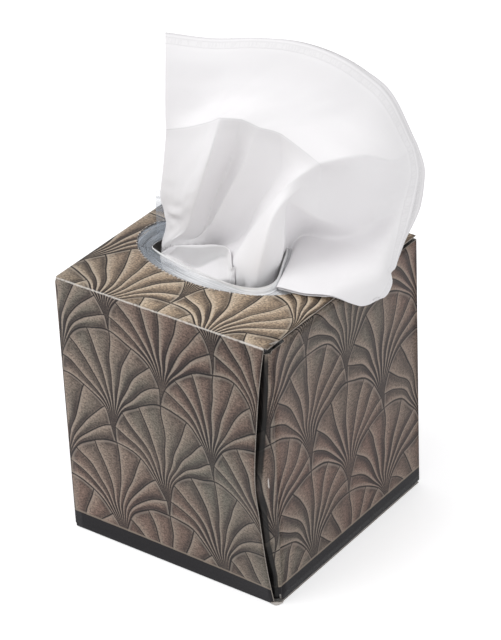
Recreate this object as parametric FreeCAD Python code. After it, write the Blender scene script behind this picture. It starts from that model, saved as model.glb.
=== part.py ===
import FreeCAD, Part
import math
import os
from FreeCAD import Vector

# A cube carton of tissues, part used, with one tissue pulled up through its film.
# Millimetres, +Z up. The origin is the centre of the carton's base.
# The front wall faces -Y, and the pulled tissue hangs over the +X wall.

# Carton, outside sizes
WIDTH = 110.0
DEPTH = 110.0
HEIGHT = 127.5
BOARD = 0.5
FOLD_RADIUS = 0.9
CUT_GAP = 0.5
# How far a cutting shape runs past what it cuts
CUT_OVER = 1.0

# Oval in the outer top panel
OVAL_LENGTH = 90.4
OVAL_WIDTH = 54.2
OVAL_X = -2.8
OVAL_Y = -1.2

# Flaps under the top and above the base
TOP_DUST_REACH = 30.0
TOP_DUST_TAPER = 12.0
TOP_GLUE_REACH = 16.0
BASE_DUST_REACH = 42.0
BASE_DUST_TAPER = 4.0
BASE_BACK_REACH = 70.0
DUST_FLAP_SLANT = 2.0
BACK_FLAP_SLANT = 1.0
FLAP_OVAL_MARGIN = 3.5

# Side seam at the front right corner, which has sprung outwards
SEAM_BOW = 9.2
SEAM_PULL = 1.0
SEAM_INSET = 2.0
GLUE_FLAP_WIDTH = 14.0
GLUE_FLAP_END_GAP = 2.0
FLAP_BEND = 1.0
SEAM_LEG_ROOT = 3.0
SEAM_LEG_STEP = 0.2
LEG_SHARES = [0.35, 0.7, 1.0]
LEG_POWER = 2.0
ARM_SHARES = [0.0, 0.3, 0.65, 1.0]
# Share of the height, share of the bow, gap behind the front wall
SEAM_STATIONS = [
    (0.0, 0.0, 0.5),
    (0.1, 0.30, 1.6),
    (0.25, 0.58, 0.7),
    (0.40, 0.78, 1.0),
    (0.50, 0.98, 0.3),
    (0.62, 0.88, 1.2),
    (0.75, 0.64, 2.0),
    (0.87, 0.42, 1.8),
    (0.95, 0.17, 1.0),
    (1.0, 0.0, 0.3),
]
BOW_SHARES = [0.0, 0.25, 0.5, 0.7, 0.85, 1.0]
BOW_POWER = 2.5
# Rounds in which a point is brought onto the bowed wall
WALL_ROUNDS = 4

# Film glued under the top panel
FILM = 0.2
FILM_MARGIN = 5.0
FILM_LIP_RISE = 2.5
FILM_LIP_LEAN = 1.2
# Height above the film's underside at which its raised parts begin
FILM_ROOT = FILM / 4
# Edge of the slit, pushed open by the tissues, as x and y
FILM_MOUTH = [
    (-38.0, -12.0), (-24.0, -17.5), (-9.0, -20.5), (3.0, -22.5), (14.0, -23.5),
    (25.0, -21.0), (34.0, -13.5), (34.0, 0.0), (27.0, 14.0), (18.0, 21.0),
    (0.0, 21.0), (-18.0, 15.0), (-31.0, 6.0), (-38.5, -3.0),
]
# The slit's near edge stands up, most in the middle
FILM_NEAR_LIP = FILM_MOUTH[0:6]
FILM_LIP_SHARES = [0.35, 0.8, 1.0, 1.0, 0.8, 0.3]
FILM_LIP_LEVELS = [0.5, 1.0]
# Film flap that stands up behind the left of the tissue, as x, y and rise
FILM_FLAP = [
    [(-41.0, -2.0, -1.0), (-36.0, 1.5, -1.0), (-31.0, 6.0, -1.0)],
    [(-41.2, -1.5, 10.0), (-36.5, 2.5, 9.0), (-31.5, 7.0, 6.0)],
    [(-41.8, 0.0, 20.0), (-37.5, 4.0, 18.0), (-32.5, 8.0, 11.0)],
]

# Folded pad of tissues, bent into an upside down U, with gaps to the carton
STACK_END_GAP = 3.0
STACK_SIDE_GAP = 5.0
STACK_HEADROOM = 38.0
STACK_LIFT = 3 * BOARD
STACK_LENGTH = WIDTH - 2 * STACK_END_GAP
STACK_DEPTH = DEPTH - 2 * STACK_SIDE_GAP
STACK_HEIGHT = HEIGHT - STACK_HEADROOM - STACK_LIFT
# Rounded shoulders: reach as a share of the depth, drop as a share of the reach
STACK_SHOULDER = 0.38 * STACK_DEPTH
STACK_SHOULDER_DROP = 0.45 * STACK_SHOULDER
# Middle point of each shoulder, as shares of its reach and its drop
STACK_BEND_IN = 0.25
STACK_BEND_DOWN = 0.3
# Slot between the two legs of the U
STACK_SLOT = 2.0
STACK_SLOT_HEIGHT = 0.52 * STACK_HEIGHT

# Sheets are thinner than this, and are drawn thick enough to be solid
PLY = 0.3
PLY_GAP = 0.9
SHEET_TOLERANCE = 0.01
# Weights of the near and the far points in a smooth midpoint
MIDPOINT_NEAR = 9 / 16
MIDPOINT_FAR = 1 / 16

# The pulled tissue is set out in a frame turned to face its broad side:
# across (to the right), out (towards the viewer) and up from the carton's top.
SAIL_TURN = 37.2
SAIL_EDGE = 55.0
SAIL_MOUTH = 30.0
# One line for each pleat from the left edge to the right one. Each goes from the
# hem, over the crease and down to the mouth of the carton.
SAIL = [
    [(-25, -16, 97.5), (-25.5, -13, 87.5), (-26, -12, 77), (-26.5, -12, 66), (-27, -11, 55.5),
     (-29, -13, 38), (-31, -14, 22.5), (-29.5, -14, 9), (-32, -14, -2)],
    [(-5.5, -14.5, 95), (-8, -10, 86), (-10.5, -9, 76.5), (-13.5, -9, 67), (-17, -6, 59),
     (-22, -8, 40), (-26, -11, 22), (-26.5, -13, 8.5), (-31.5, -13.5, -2)],
    [(12.5, -13, 95), (8.5, -8, 86.5), (3, -6, 78.5), (-2.5, -5, 70.5), (-8.5, 0, 64),
     (-14.5, -1, 44.5), (-21, -5, 25), (-23.5, -10, 9), (-30, -13, -1.5)],
    [(29, -11.5, 93), (24, -7, 84.5), (15.5, -4, 78), (6.5, -1, 72), (-2, 7, 69),
     (-8, 5, 50), (-15, -2, 26.5), (-20.5, -8, 8.5), (-28, -12, 0.5)],
    [(43.5, -10, 87.5), (36.5, -5, 79.5), (26.5, -2, 75), (15.5, 1, 70.5), (4.5, 7, 68),
     (-1, -5, 43), (-9.5, -9, 20), (-14.5, -10, 5.5), (-20.5, -10, 1.5)],
    [(56, -9, 78.5), (47.5, -3, 71.5), (36, 0, 69), (23.5, 3, 66), (11.5, 8, 64.5),
     (5.5, 3, 47), (-2.5, -1, 30), (-9.5, -5, 15.5), (-13.5, -8, 3)],
    [(66.5, -8, 67), (57.5, -1, 62), (45.5, 2, 60.5), (33.5, 6, 60.5), (20.5, 9, 61.5),
     (14.5, 2, 43.5), (5.5, -2, 23), (-1, -6, 8), (-6.5, -8, -1.5)],
    [(75.5, -6, 48), (67.5, 4, 48), (57, 11, 51.5), (45.5, 16, 55), (33, 15, 55.5),
     (23.5, 17, 43), (14, 19, 33), (4, 19, 18), (0, 18, 5.5)],
    [(78, -4, 32.5), (70, 2, 32.5), (60.5, 6, 34.5), (49, 10, 38), (37, 10, 44.5),
     (29.5, 15, 34.5), (22.5, 20, 24.5), (14, 26, 11), (8, 26, 0)],
    [(74.5, -1, 17), (67, 0, 16), (57, -3, 12), (46, -3, 12), (35, 3, 23.5),
     (29.5, 8, 17.5), (22, 14, 10.5), (16.5, 17, 4.5), (13.5, 15, -1)],
    [(70, 2.5, 2.5), (61.5, 8, 4.5), (51, 2, 3.5), (40, -4, 2.8), (28.5, -10, 2.8),
     (22.5, -6, -0.3), (20.5, -6, -4), (19.5, -6, -7), (18.5, -5, -9.5)],
    [(64, 15.5, -11.5), (59, 21, -1.5), (48, 22.5, 3.4), (35.5, 18, 2.8), (22, 13, 2.4),
     (21.5, 11, -2), (21, 11, -5), (20.5, 11, -7.5), (20, 11, -9.5)],
    [(56, 19.5, -17.5), (48, 34, -6.5), (37.5, 40.5, 3.6), (26.5, 36, 2.6), (16.5, 32, 2.4),
     (16.5, 27, -2.5), (17, 24, -5), (17.5, 22, -7.5), (17.5, 21, -9.5)],
]
# Below the mouth the tissue is drawn together and drops to the pad
SAIL_GATHER = 0.8
SAIL_DROPS = [0.35, 0.7, 1.0]
SAIL_END_RISE = 3.0

# The rear ply has slipped past the right edge: the length added to each pleat at
# the hem, from the left edge to the right one
REAR_SLIP = [0.0, 0.0, 0.0, 0.3, 0.8, 1.5, 2.4, 3.4, 4.2, 3.6, 2.0, -1.0, -6.0]

# Head of the next tissue, a pocket that is open to the front, as x, y and rise
NEXT_BACK_STEP = 0.4
NEXT_BACK_DROP = 2.5
NEXT_BACK_LOW = -7.0
NEXT_RIM = [
    (-31, -13, -2.4), (-28.5, -9.5, 0.1), (-24.6, -6.8, 1.0), (-15.3, -5.3, 3.2),
    (-7, -6.2, 6.4), (2.4, -9.8, 9.9), (7.3, -13.8, 9.9), (10.2, -17, 6.3),
]
NEXT_VALLEY = [
    (-30.4, -13.8, -3.2), (-27.7, -12, -3.9), (-22.5, -10.5, -5.3), (-14.9, -10, -5.2),
    (-4.6, -10.5, 1.7), (1.9, -12.5, 6.5), (6.8, -15.4, 7.5), (9.8, -17.9, 4.5),
]
NEXT_FLOOR = [
    (-29.8, -14.4, -5), (-23.5, -15.5, -3.4), (-15.1, -17.5, -3), (-6.5, -19, -3),
    (3, -19.5, -1.5), (7.5, -19, 0), (9.5, -18.8, 0.6), (10.5, -18.5, 0.8),
]
NEXT_LOW = [
    (-27, -14.8, -14), (-22, -15, -17), (-15, -15.5, -18), (-8, -16.5, -18),
    (-1, -17.5, -17), (4, -18, -15), (6, -18, -14), (7, -18.2, -13),
]


def top_level():
    """Underside of the outer top panel."""
    return HEIGHT - BOARD


def film_level():
    """Underside of the film, on which the glued flap lies."""
    return top_level() - FILM


def turn_about_z(shape, degrees):
    """Copy of a shape turned about the carton's upright centre line."""
    turned = shape.copy()
    turned.rotate(Vector(0, 0, 0), Vector(0, 0, 1), degrees)
    return turned


def quarter_fold(start, end, face, level, upwards):
    """Rounded fold along X between a wall at y=face and a flap at height level."""
    centre_z = level - FOLD_RADIUS if upwards else level + FOLD_RADIUS
    centre = Vector(start, face + FOLD_RADIUS, centre_z)
    along = Vector(1, 0, 0)
    outer = Part.makeCylinder(FOLD_RADIUS, end - start, centre, along)
    inner = Part.makeCylinder(FOLD_RADIUS - BOARD, end - start, centre, along)
    low_z = centre_z if upwards else centre_z - FOLD_RADIUS
    quadrant = Part.makeBox(end - start, FOLD_RADIUS, FOLD_RADIUS, Vector(start, face, low_z))
    return outer.cut(inner).common(quadrant)


def flap(start, end, half, level, upwards, reach, taper):
    """Flap folded inwards from a wall at y=-half, with slanted ends."""
    pieces = [quarter_fold(start, end, -half, level, upwards)]
    low = level - BOARD if upwards else level
    near = -half + FOLD_RADIUS
    outline = [
        Vector(start, near, low),
        Vector(end, near, low),
        Vector(end - taper, -half + reach, low),
        Vector(start + taper, -half + reach, low),
        Vector(start, near, low),
    ]
    pieces.append(Part.Face(Part.makePolygon(outline)).extrude(Vector(0, 0, BOARD)))
    return pieces


def wall(start, end, half, low, high):
    """Flat wall with its outer face at y=-half."""
    return Part.makeBox(end - start, BOARD, high - low, Vector(start, -half, low))


def corner_fold(x_sign, y_sign, low, high):
    """Rounded upright fold between two walls."""
    centre = Vector(x_sign * (WIDTH / 2 - FOLD_RADIUS), y_sign * (DEPTH / 2 - FOLD_RADIUS), low)
    outer = Part.makeCylinder(FOLD_RADIUS, high - low, centre)
    inner = Part.makeCylinder(FOLD_RADIUS - BOARD, high - low, centre)
    corner = Vector(
        min(x_sign * WIDTH / 2, centre.x),
        min(y_sign * DEPTH / 2, centre.y),
        low,
    )
    quadrant = Part.makeBox(FOLD_RADIUS, FOLD_RADIUS, high - low, corner)
    return outer.cut(inner).common(quadrant)


def oval_cutter(margin, low, high):
    """Upright prism of the oval, grown by a margin."""
    ellipse = Part.Ellipse(
        Vector(OVAL_X, OVAL_Y, low),
        OVAL_LENGTH / 2 + margin,
        OVAL_WIDTH / 2 + margin,
    )
    face = Part.Face(Part.Wire(ellipse.toShape()))
    return face.extrude(Vector(0, 0, high - low))


def surface_through(grid):
    """Smooth surface through rows of points."""
    surface = Part.BSplineSurface()
    surface.interpolate(grid)
    return surface


def clamped_knots(count, degree):
    """Even knots for a curve that starts and ends on its first and last pole."""
    spans = count - degree
    knots = [float(number) for number in range(spans + 1)]
    return knots, [degree + 1] + [1] * (spans - 1) + [degree + 1]


def surface_along(grid):
    """Smooth surface that follows a grid of poles without overshooting it."""
    degree_u = min(3, len(grid) - 1)
    degree_v = min(3, len(grid[0]) - 1)
    knots_u, counts_u = clamped_knots(len(grid), degree_u)
    knots_v, counts_v = clamped_knots(len(grid[0]), degree_v)
    surface = Part.BSplineSurface()
    surface.buildFromPolesMultsKnots(
        grid, counts_u, counts_v, knots_u, knots_v, False, False, degree_u, degree_v)
    return surface


def seam_edge(bow_share):
    """Free edge of the front wall's outer face at one height, as x and y."""
    x = WIDTH / 2 - SEAM_INSET - SEAM_PULL * bow_share
    y = -DEPTH / 2 - SEAM_BOW * bow_share
    return x, y


def front_wall_surface():
    """Outer face of the front wall, whose right edge has sprung outwards."""
    low = FOLD_RADIUS
    high = HEIGHT - FOLD_RADIUS
    left = -WIDTH / 2 + FOLD_RADIUS
    grid = []
    for height_share, bow_share, gap in SEAM_STATIONS:
        z = low + height_share * (high - low)
        edge_x, edge_y = seam_edge(bow_share)
        row = []
        for share in BOW_SHARES:
            x = left + share * (edge_x - left)
            y = -DEPTH / 2 + (edge_y + DEPTH / 2) * share ** BOW_POWER
            row.append(Vector(x, y, z))
        grid.append(row)
    return surface_along(grid)


def front_wall_y(surface, x, z):
    """Depth at which the front wall's outer face passes x at the height z."""
    y = -DEPTH / 2
    for _ in range(WALL_ROUNDS):
        u, v = surface.parameter(Vector(x, y, z))
        y = surface.value(u, v).y
    return y


def flap_section(surface, z, bow_share, gap):
    """Outline of the glue flap at one height: a leg, a bend and an arm behind the wall."""
    start = Vector(WIDTH / 2, -DEPTH / 2 + SEAM_LEG_ROOT, z)
    edge_x = seam_edge(bow_share)[0]
    fold_x = edge_x + SEAM_INSET / 2
    fold_y = front_wall_y(surface, edge_x, z) + BOARD + gap
    path = [start, Vector(start.x, start.y - SEAM_LEG_STEP, z)]
    for way in LEG_SHARES:
        x = start.x + (fold_x - start.x) * way ** LEG_POWER
        path.append(Vector(x, start.y + (fold_y + FLAP_BEND - start.y) * way, z))
    for step in ARM_SHARES:
        x = fold_x - FLAP_BEND - (GLUE_FLAP_WIDTH - FLAP_BEND) * step
        path.append(Vector(x, front_wall_y(surface, x, z) + BOARD + gap, z))
    inner = []
    for number, point in enumerate(path):
        before = path[max(0, number - 1)]
        after = path[min(len(path) - 1, number + 1)]
        along = after - before
        along.normalize()
        inner.append(point + Vector(along.y, -along.x, 0) * BOARD)
    return Part.makePolygon(path + inner[::-1] + [path[0]])


def front_wall():
    """Front wall, one board thick."""
    return front_wall_surface().toShape().extrude(Vector(0, BOARD, 0))


def glue_flap():
    """Flap from the right wall that runs out to, and behind, the front wall's edge."""
    low = FOLD_RADIUS + GLUE_FLAP_END_GAP
    high = HEIGHT - FOLD_RADIUS - GLUE_FLAP_END_GAP
    surface = front_wall_surface()
    sections = []
    for share, bow_share, gap in SEAM_STATIONS:
        sections.append(flap_section(surface, low + share * (high - low), bow_share, gap))
    return Part.makeLoft(sections, True, True)


def make_carton():
    """One folded blank: walls, glue flap, top panel and the flaps under and over it."""
    radius = FOLD_RADIUS
    half_w = WIDTH / 2
    half_d = DEPTH / 2
    glued_level = film_level()
    dust_level = glued_level - BOARD
    pieces = [front_wall(), glue_flap()]

    # Outer top panel, hinged at the front, and outer base panel
    pieces.append(quarter_fold(-half_w + radius, half_w - SEAM_INSET, -half_d, HEIGHT, True))
    pieces.append(quarter_fold(-half_w + radius, half_w - SEAM_INSET, -half_d, 0.0, False))
    top_panel = Part.makeBox(
        WIDTH - 2 * CUT_GAP,
        DEPTH - radius - CUT_GAP,
        BOARD,
        Vector(-half_w + CUT_GAP, -half_d + radius, top_level()),
    )
    pieces.append(top_panel.cut(oval_cutter(0.0, top_level() - CUT_OVER, HEIGHT + CUT_OVER)))
    pieces.append(Part.makeBox(
        WIDTH - 2 * CUT_GAP,
        DEPTH - radius - CUT_GAP,
        BOARD,
        Vector(-half_w + CUT_GAP, -half_d + radius, 0.0),
    ))

    # Left, back and right walls with the rounded folds between them
    side_low = 2 * BOARD + radius
    side_high = dust_level - radius
    back_low = BOARD + radius
    back_high = glued_level - radius
    left_wall = wall(-half_d + radius, half_d - radius, half_w, side_low, side_high)
    right_wall = wall(-half_d + SEAM_LEG_ROOT, half_d - radius, half_w, side_low, side_high)
    pieces.append(turn_about_z(left_wall, -90))
    pieces.append(turn_about_z(right_wall, 90))
    back_wall = wall(-half_w + radius, half_w - radius, half_d, back_low, back_high)
    pieces.append(turn_about_z(back_wall, 180))
    pieces.append(corner_fold(-1, -1, side_low, side_high))
    pieces.append(corner_fold(-1, 1, side_low, side_high))
    pieces.append(corner_fold(1, 1, side_low, side_high))

    # Dust flaps and the glued flap under the top, cut clear of the oval
    oval = oval_cutter(FLAP_OVAL_MARGIN, dust_level - BOARD - CUT_OVER, HEIGHT)
    run = half_d - TOP_DUST_TAPER
    for degrees in (-90, 90):
        for piece in flap(-run, run, half_w, dust_level, True, TOP_DUST_REACH, DUST_FLAP_SLANT):
            pieces.append(turn_about_z(piece, degrees).cut(oval))
    run = half_w - 2 * radius
    for piece in flap(-run, run, half_d, glued_level, True, TOP_GLUE_REACH, BACK_FLAP_SLANT):
        pieces.append(turn_about_z(piece, 180))

    # Flaps above the base panel
    run = half_w - 2 * radius
    for piece in flap(-run, run, half_d, BOARD, False, BASE_BACK_REACH, BACK_FLAP_SLANT):
        pieces.append(turn_about_z(piece, 180))
    run = half_d - BASE_DUST_TAPER
    for degrees in (-90, 90):
        for piece in flap(-run, run, half_w, 2 * BOARD, False, BASE_DUST_REACH, DUST_FLAP_SLANT):
            pieces.append(turn_about_z(piece, degrees))

    return pieces[0].multiFuse(pieces[1:]).removeSplitter()


def make_film():
    """Film plate with its opened slit, the raised near lip and a standing flap."""
    plate = oval_cutter(FILM_MARGIN, film_level(), top_level())
    points = [Vector(x, y, film_level() - CUT_OVER) for x, y in FILM_MOUTH]
    curve = Part.BSplineCurve()
    curve.interpolate(points, PeriodicFlag=True)
    mouth = Part.Face(Part.Wire(curve.toShape()))
    plate = plate.cut(mouth.extrude(Vector(0, 0, FILM + 2 * CUT_OVER)))
    base_z = film_level() + FILM_ROOT
    lip_top = HEIGHT + FILM_LIP_RISE
    lip_grid = [[Vector(x, y - FILM, base_z) for x, y in FILM_NEAR_LIP]]
    for level in FILM_LIP_LEVELS:
        row = []
        for (x, y), share in zip(FILM_NEAR_LIP, FILM_LIP_SHARES):
            raised = level * share
            row.append(Vector(x, y + FILM_LIP_LEAN * raised, base_z + (lip_top - base_z) * raised))
        lip_grid.append(row)
    lip = surface_through(lip_grid).toShape().extrude(Vector(0, -FILM, 0))
    flap_grid = []
    for row in FILM_FLAP:
        flap_grid.append([Vector(x, y, HEIGHT + rise) for x, y, rise in row])
    for point in flap_grid[0]:
        point.z = base_z
    standing = surface_through(flap_grid).toShape().extrude(Vector(-FILM, FILM, 0))
    return plate.multiFuse([lip, standing])


def make_stack():
    """Pad of folded sheets, bent over so that its middle meets the opening."""
    half = STACK_DEPTH / 2
    low = STACK_LIFT
    high = STACK_LIFT + STACK_HEIGHT
    shoulder_z = high - STACK_SHOULDER_DROP
    bend_y = half - STACK_SHOULDER * STACK_BEND_IN
    bend_z = high - STACK_SHOULDER_DROP * STACK_BEND_DOWN
    flat_y = half - STACK_SHOULDER
    outline = [
        Part.LineSegment(Vector(0, -half, low), Vector(0, -half, shoulder_z)),
        Part.Arc(Vector(0, -half, shoulder_z), Vector(0, -bend_y, bend_z), Vector(0, -flat_y, high)),
        Part.LineSegment(Vector(0, -flat_y, high), Vector(0, flat_y, high)),
        Part.Arc(Vector(0, flat_y, high), Vector(0, bend_y, bend_z), Vector(0, half, shoulder_z)),
        Part.LineSegment(Vector(0, half, shoulder_z), Vector(0, half, low)),
        Part.LineSegment(Vector(0, half, low), Vector(0, -half, low)),
    ]
    face = Part.Face(Part.Wire([piece.toShape() for piece in outline]))
    face.translate(Vector(-STACK_LENGTH / 2, 0, 0))
    pad = face.extrude(Vector(STACK_LENGTH, 0, 0))
    slot = Part.makeBox(
        STACK_LENGTH + 2 * CUT_OVER,
        STACK_SLOT,
        STACK_SLOT_HEIGHT + CUT_OVER,
        Vector(-STACK_LENGTH / 2 - CUT_OVER, -STACK_SLOT / 2, low - CUT_OVER),
    )
    return pad.cut(slot)


def sail_point(across, out, rise):
    """Point of the pulled tissue, carried outwards with the carton's right edge."""
    turn = math.radians(SAIL_TURN)
    x = across * math.cos(turn) + out * math.sin(turn)
    y = across * math.sin(turn) - out * math.cos(turn)
    share = min(1.0, max(0.0, (x - SAIL_MOUTH) / (SAIL_EDGE - SAIL_MOUTH)))
    x += (WIDTH / 2 - SAIL_EDGE) * share
    return Vector(x, y, HEIGHT + rise)


def hidden_points(mouth):
    """Points below the mouth, where the tissue drops to the pad."""
    end_z = STACK_LIFT + STACK_HEIGHT + SAIL_END_RISE
    points = []
    for share in SAIL_DROPS:
        drawn = 1.0 - (1.0 - SAIL_GATHER) * share
        z = mouth.z + (end_z - mouth.z) * share
        points.append(Vector(mouth.x * drawn, mouth.y * drawn, z))
    return points


def sail_grid(slip):
    """Columns of points of one ply, from the hem down to the pad."""
    columns = []
    for number, pleat in enumerate(SAIL):
        column = [sail_point(across, out, rise) for across, out, rise in pleat]
        if slip:
            outwards = column[0] - column[1]
            outwards.normalize()
            column[0] = column[0] + outwards * REAR_SLIP[number]
        columns.append(column + hidden_points(column[-1]))
    return columns


def with_midpoints(points):
    """The same points with a smoothly placed one between each two of them."""
    finer = []
    for number in range(len(points) - 1):
        start = points[number]
        end = points[number + 1]
        before = points[number - 1] if number > 0 else start * 2 - end
        after = points[number + 2] if number + 2 < len(points) else end * 2 - start
        finer.append(start)
        finer.append((start + end) * MIDPOINT_NEAR - (before + after) * MIDPOINT_FAR)
    finer.append(points[-1])
    return finer


def finer_grid(grid):
    """A grid with midpoints along its rows and its columns."""
    rows = [with_midpoints(row) for row in grid]
    columns = [with_midpoints(list(column)) for column in zip(*rows)]
    return [list(row) for row in zip(*columns)]


def moved_grid(grid, offset):
    """The same grid, moved along the normals that its neighbouring points give."""
    moved = []
    for row, line in enumerate(grid):
        upper = grid[max(0, row - 1)]
        lower = grid[min(len(grid) - 1, row + 1)]
        moved_line = []
        for column, point in enumerate(line):
            across = line[min(len(line) - 1, column + 1)] - line[max(0, column - 1)]
            normal = (lower[column] - upper[column]).cross(across)
            normal.normalize()
            moved_line.append(point + normal * offset)
        moved.append(moved_line)
    return moved


def thick_sheet(grid):
    """Closed solid of one sheet: a faceted front and back, one ply apart, and rims."""
    rows = len(grid)
    columns = len(grid[0])
    layer = rows * columns
    points = []
    for side in (grid, moved_grid(grid, PLY)):
        for line in side:
            points.extend(line)
    facets = []
    for row in range(rows - 1):
        for column in range(columns - 1):
            here = row * columns + column
            below = here + columns
            facets.append((here, here + 1, below))
            facets.append((here + 1, below + 1, below))
            facets.append((layer + here, layer + below, layer + here + 1))
            facets.append((layer + here + 1, layer + below, layer + below + 1))
    rim = list(range(columns))
    rim += [row * columns + columns - 1 for row in range(1, rows)]
    rim += [layer - 1 - step for step in range(1, columns)]
    rim += [row * columns for row in range(rows - 2, 0, -1)]
    for here, there in zip(rim, rim[1:] + rim[:1]):
        facets.append((here, layer + here, there))
        facets.append((there, layer + here, layer + there))
    shell = Part.Shape()
    shell.makeShapeFromMesh((points, facets), SHEET_TOLERANCE)
    solid = Part.makeSolid(shell)
    if solid.Volume < 0:
        solid.reverse()
    return solid


def make_front_ply():
    return thick_sheet(finer_grid(sail_grid(False)))


def make_rear_ply():
    return thick_sheet(moved_grid(finer_grid(sail_grid(True)), PLY_GAP))


def make_next_tissue():
    """Head of the next tissue: a back, a rim and a pocket in front of them."""
    rows = []
    for line in (NEXT_RIM, NEXT_VALLEY, NEXT_FLOOR, NEXT_LOW):
        rows.append([Vector(x, y, HEIGHT + rise) for x, y, rise in line])
    rim = rows[0]
    back = [Vector(p.x, p.y + NEXT_BACK_STEP, p.z - NEXT_BACK_DROP) for p in rim]
    low_z = HEIGHT + NEXT_BACK_LOW
    back_low = [Vector(p.x, p.y, low_z) for p in rim]
    return thick_sheet(finer_grid([back_low, back] + rows))


def main():
    os.makedirs("parts", exist_ok=True)
    nodes = {
        "carton": make_carton(),
        "film_window": make_film(),
        "tissue_stack": make_stack(),
        "next_tissue": make_next_tissue(),
        "front_ply": make_front_ply(),
        "rear_ply": make_rear_ply(),
    }
    for name, shape in nodes.items():
        print(name, len(shape.Solids), round(shape.Volume, 1), shape.isValid())
        shape.exportStep(os.path.join("parts", name + ".step"))


main()
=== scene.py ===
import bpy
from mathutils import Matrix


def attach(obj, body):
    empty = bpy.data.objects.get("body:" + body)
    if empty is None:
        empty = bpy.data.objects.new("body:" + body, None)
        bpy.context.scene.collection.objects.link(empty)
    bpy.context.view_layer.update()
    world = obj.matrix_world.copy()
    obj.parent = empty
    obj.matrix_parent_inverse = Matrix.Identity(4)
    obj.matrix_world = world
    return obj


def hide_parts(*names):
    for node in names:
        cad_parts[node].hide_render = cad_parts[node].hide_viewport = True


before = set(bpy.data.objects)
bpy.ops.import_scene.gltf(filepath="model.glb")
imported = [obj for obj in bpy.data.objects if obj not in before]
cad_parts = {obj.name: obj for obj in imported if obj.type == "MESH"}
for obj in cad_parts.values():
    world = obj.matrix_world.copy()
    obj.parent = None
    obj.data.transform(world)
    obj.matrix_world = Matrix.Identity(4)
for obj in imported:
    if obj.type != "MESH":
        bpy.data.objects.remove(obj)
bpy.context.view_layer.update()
import math
import bpy
import numpy as np
from mathutils import Matrix, Vector

# Sizes are in millimetres here and become metres when a mesh is made.
MM = 0.001
# Places on the flat sheets are kept in units of this many millimetres
UV_UNIT = 100.0

# Carton, as in the part
WIDTH = 110.0
DEPTH = 110.0
HEIGHT = 127.5
BOARD = 0.5
FOLD = 0.9
CUT_GAP = 0.5
FILM_Z = 126.8
DUST_Z = FILM_Z - BOARD
WALL_LOW = 2 * BOARD + FOLD
WALL_HIGH = DUST_Z - FOLD
# Middle and half sizes of the oval opening
OVAL = (-2.8, -1.2, 45.2, 27.1)
SEAM_BOW = 9.2
SEAM_PULL = 1.0
SEAM_INSET = 2.0
SEAM_ROOT = 3.0
# Share of the height, share of the bow, and gap between the flap and the wall
SEAM_STATIONS = [
    (0.0, 0.0, 0.5), (0.1, 0.30, 1.6), (0.25, 0.58, 0.7), (0.40, 0.78, 1.0), (0.50, 0.98, 0.3),
    (0.62, 0.88, 1.2), (0.75, 0.64, 2.0), (0.87, 0.42, 1.8), (0.95, 0.17, 1.0), (1.0, 0.0, 0.3),
]
BOW_SHARES = [0.0, 0.25, 0.5, 0.7, 0.85, 1.0]
BOW_POWER = 2.5
WALL_SAMPLES = (91, 61)
WALL_HOLLOW = 0.25
# The glue flap: how far it stops short of the folds, the length of its arm, its round
# fold, the gap at which its painted shade is full, how much the gap is widened, and its crack
FLAP_SHORT = 2.0
FLAP_ARM = 13.0
FLAP_ROUND = 1.0
FULL_SHADE_GAP = 1.6
GAP_GAIN = 1.7
CRACK_Z = 64.0
CRACK_REACH = 3.0
# Flaps folded in from the walls: how far they stop short of the corners, their reach
# and their taper
DUST_FLAP = (12.0, 9.0, 2.0)
BASE_SIDE_FLAP = (4.0, 42.0, 2.0)
INNER_TOP_FLAP = (1.8, 16.0, 1.0)
BASE_BACK_FLAP = (1.8, 70.0, 1.0)
# Nicked edge of the oval
NICK_PITCH = 2.3
NICK_DEPTH = 0.9
# Worn ink across the fold of the top panel's front edge
FRONT_FOLD_WEAR = [0.3, 0.6, 0.82, 0.82, 0.6, 0.40]
# Lower and upper edge of each torn bit of board
TORN_BITS = [
    ([(53.3, -51.0, 127.5), (54.2, -49.6, 127.6), (54.5, -47.6, 127.5)],
     [(54.4, -51.2, 128.1), (55.2, -49.8, 128.5), (55.1, -47.4, 127.9)]),
    ([(51.3, -55.0, 0.3), (53.4, -55.0, 0.2), (54.9, -53.3, 0.2), (55.1, -51.2, 0.3)],
     [(51.6, -55.3, 1.1), (53.5, -55.4, 1.9), (55.3, -53.4, 1.5), (55.3, -51.4, 0.9)]),
]

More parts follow.
